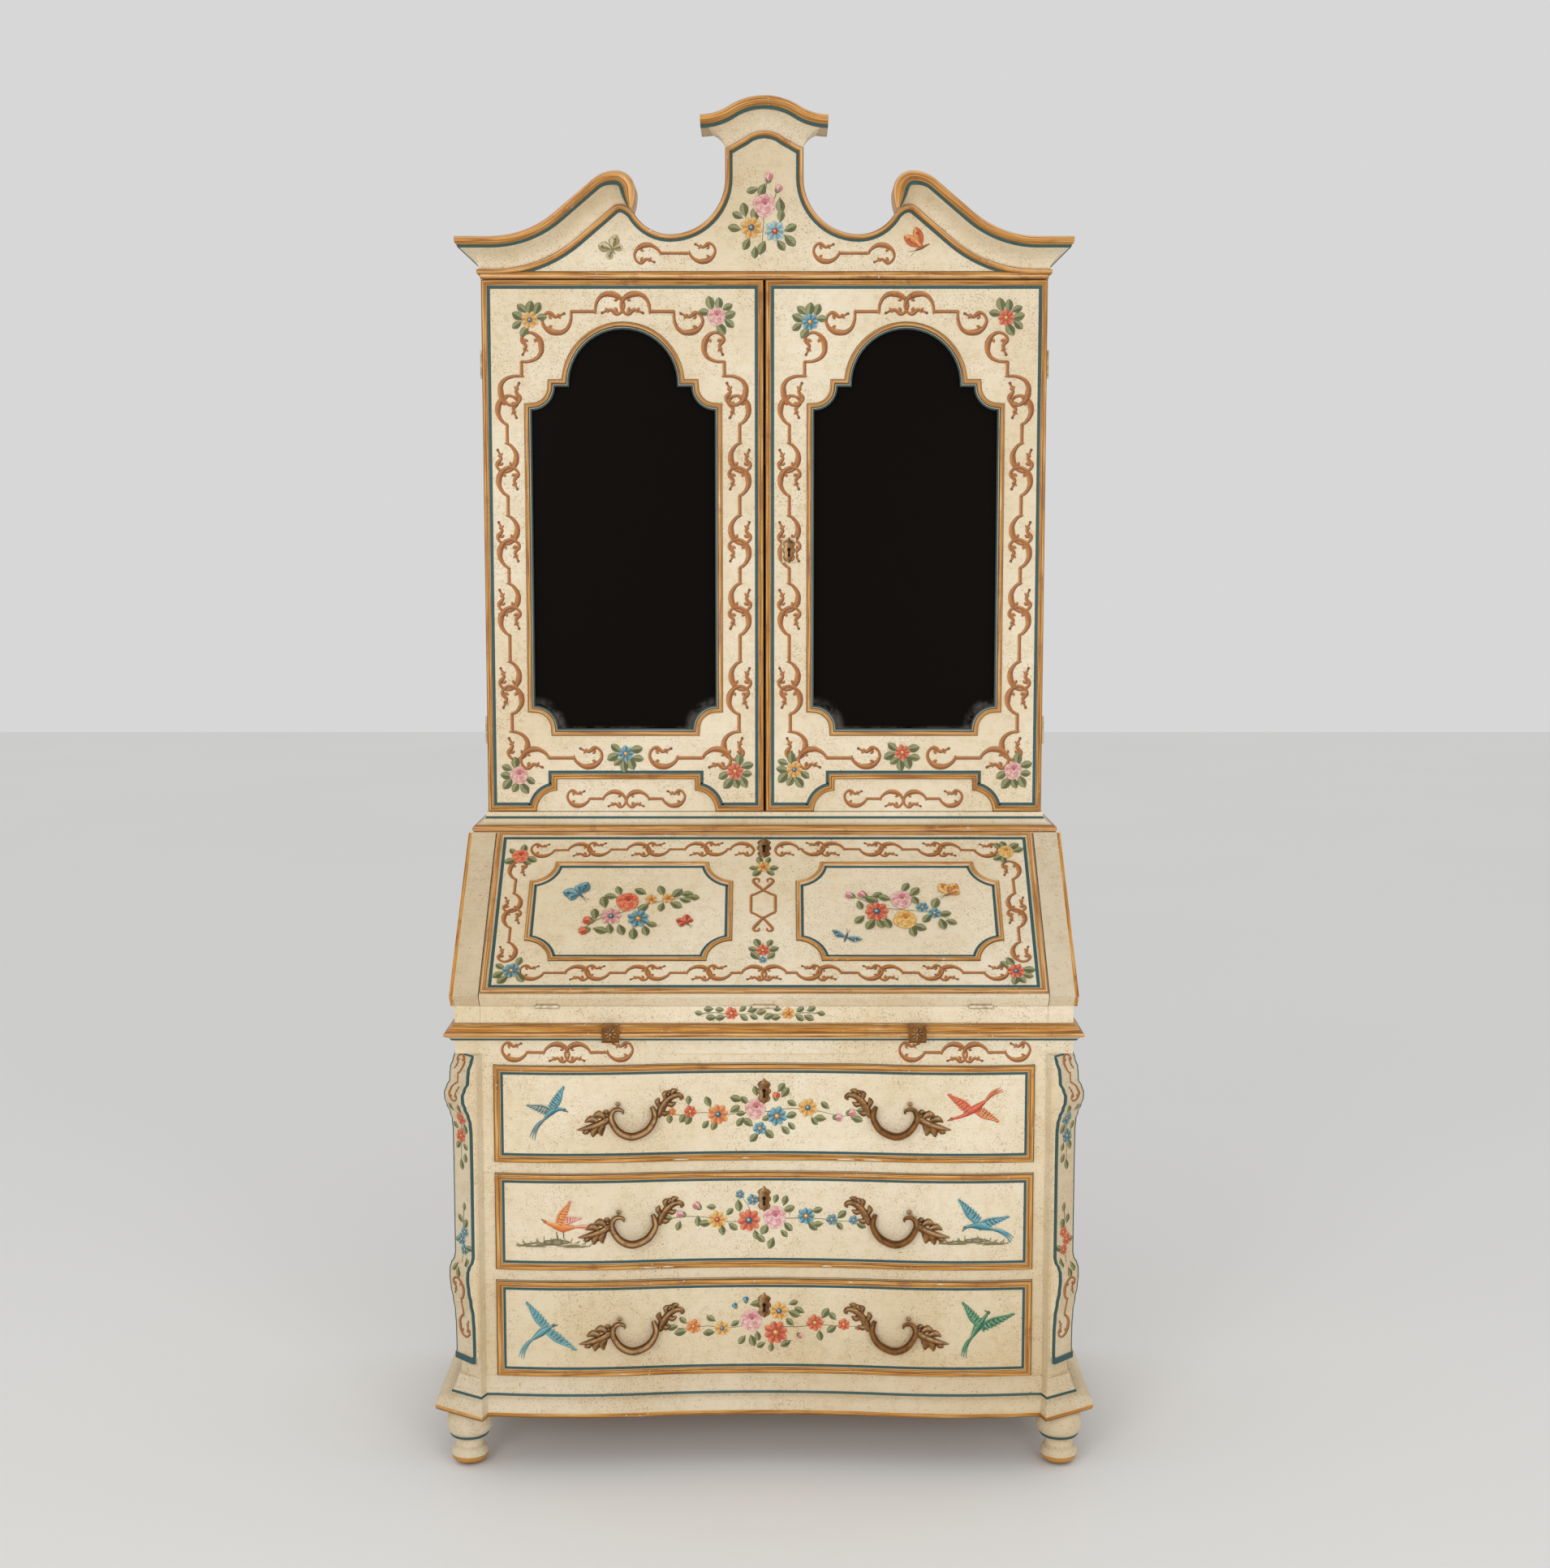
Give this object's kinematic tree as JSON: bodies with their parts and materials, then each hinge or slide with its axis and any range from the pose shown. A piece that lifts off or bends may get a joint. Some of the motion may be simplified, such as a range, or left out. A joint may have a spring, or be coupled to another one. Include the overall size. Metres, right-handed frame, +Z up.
{
  "type": "secretary bookcase",
  "caption": "Painted slant-front secretary: bookcase with mirrored doors and swan-neck pediment over a fall-front desk and long serpentine drawers on turned feet.",
  "frame": {"origin": "on the floor under the middle of the bounding box", "axes": "+Z up, the front faces -Y, +X to the right of someone facing the front"},
  "size_m": [1.1, 0.58, 2.2707],
  "materials": {
    "cream_paint": "cream paint, aged and speckled, with painted scrolls, flowers and birds",
    "gilding": "antique gold paint",
    "brass": "darkened cast brass",
    "mirror": "dark aged mirror",
    "bare_wood": "oiled"
  },
  "bodies": {
    "carcass": {"bun_feet": "cream_paint", "plinth_moulding": "cream_paint", "base_sides": "cream_paint", "corner_posts": "cream_paint", "pilaster_strips": "cream_paint", "drawer_rails": "cream_paint", "base_top": "cream_paint", "desk_sides": "cream_paint", "hinge_rail": "cream_paint", "fall_cheeks": "cream_paint", "desk_top": "cream_paint", "bookcase_sides": "cream_paint", "waist_moulding": "cream_paint", "pediment_board": "cream_paint", "swan_neck_coves": "cream_paint", "cornice_returns": "cream_paint", "cap_moulding": "cream_paint", "mid_moulding": "gilding", "swan_neck_rims": "gilding", "cheek_edge_strips": "gilding", "cornice_band": "gilding", "fixed_hinges": "brass", "base_bottom": "bare_wood", "runners_and_guides": "bare_wood", "lower_backs": "bare_wood", "writing_bed": "bare_wood", "gallery_partitions": "bare_wood", "bookcase_boards": "bare_wood", "bookcase_back": "bare_wood"},
    "door_left": {"door_left_frame": "cream_paint", "door_left_mirror": "mirror", "door_left_backing": "bare_wood", "door_left_mouldings": "gilding", "door_left_brass": "brass"},
    "door_right": {"door_right_frame": "cream_paint", "door_right_mirror": "mirror", "door_right_backing": "bare_wood", "door_right_mouldings": "gilding", "door_right_brass": "brass"},
    "fall": {"fall_board": "cream_paint", "fall_mouldings": "gilding", "fall_brass": "brass"},
    "drawer_1": {"drawer_1_front": "cream_paint", "drawer_1_border": "gilding", "drawer_1_box": "bare_wood", "drawer_1_brass": "brass"},
    "drawer_2": {"drawer_2_front": "cream_paint", "drawer_2_border": "gilding", "drawer_2_box": "bare_wood", "drawer_2_brass": "brass"},
    "drawer_3": {"drawer_3_front": "cream_paint", "drawer_3_border": "gilding", "drawer_3_box": "bare_wood", "drawer_3_brass": "brass"},
    "loper_left": {"loper_left": "bare_wood", "loper_left_pull": "brass"},
    "gallery_drawer_left": {"gallery_drawer_left": "bare_wood"},
    "loper_right": {"loper_right": "bare_wood", "loper_right_pull": "brass"},
    "gallery_drawer_right": {"gallery_drawer_right": "bare_wood"}
  },
  "joints": [
    {"name": "door_left_hinge", "type": "hinge", "parent": "carcass", "child": "door_left", "pos_m": [-0.4855, 0.0525, 1.5215], "axis": [0, 0, -1], "range_deg": [0, 105]},
    {"name": "door_right_hinge", "type": "hinge", "parent": "carcass", "child": "door_right", "pos_m": [0.4855, 0.0525, 1.5215], "axis": [0, 0, 1], "range_deg": [0, 105]},
    {"name": "fall_hinge", "type": "hinge", "parent": "carcass", "child": "fall", "pos_m": [0, -0.2475, 0.7795], "axis": [1, 0, 0], "range_deg": [0, 138]},
    {"name": "drawer_1_slide", "type": "slide", "parent": "carcass", "child": "drawer_1", "axis": [0, -1, 0], "range_m": [0, 0.35]},
    {"name": "drawer_2_slide", "type": "slide", "parent": "carcass", "child": "drawer_2", "axis": [0, -1, 0], "range_m": [0, 0.35]},
    {"name": "drawer_3_slide", "type": "slide", "parent": "carcass", "child": "drawer_3", "axis": [0, -1, 0], "range_m": [0, 0.35]},
    {"name": "loper_left_slide", "type": "slide", "parent": "carcass", "child": "loper_left", "axis": [0, -1, 0], "range_m": [0, 0.26]},
    {"name": "gallery_drawer_left_slide", "type": "slide", "parent": "carcass", "child": "gallery_drawer_left", "axis": [0, -1, 0], "range_m": [0, 0.15]},
    {"name": "loper_right_slide", "type": "slide", "parent": "carcass", "child": "loper_right", "axis": [0, -1, 0], "range_m": [0, 0.26]},
    {"name": "gallery_drawer_right_slide", "type": "slide", "parent": "carcass", "child": "gallery_drawer_right", "axis": [0, -1, 0], "range_m": [0, 0.15]}
  ]
}
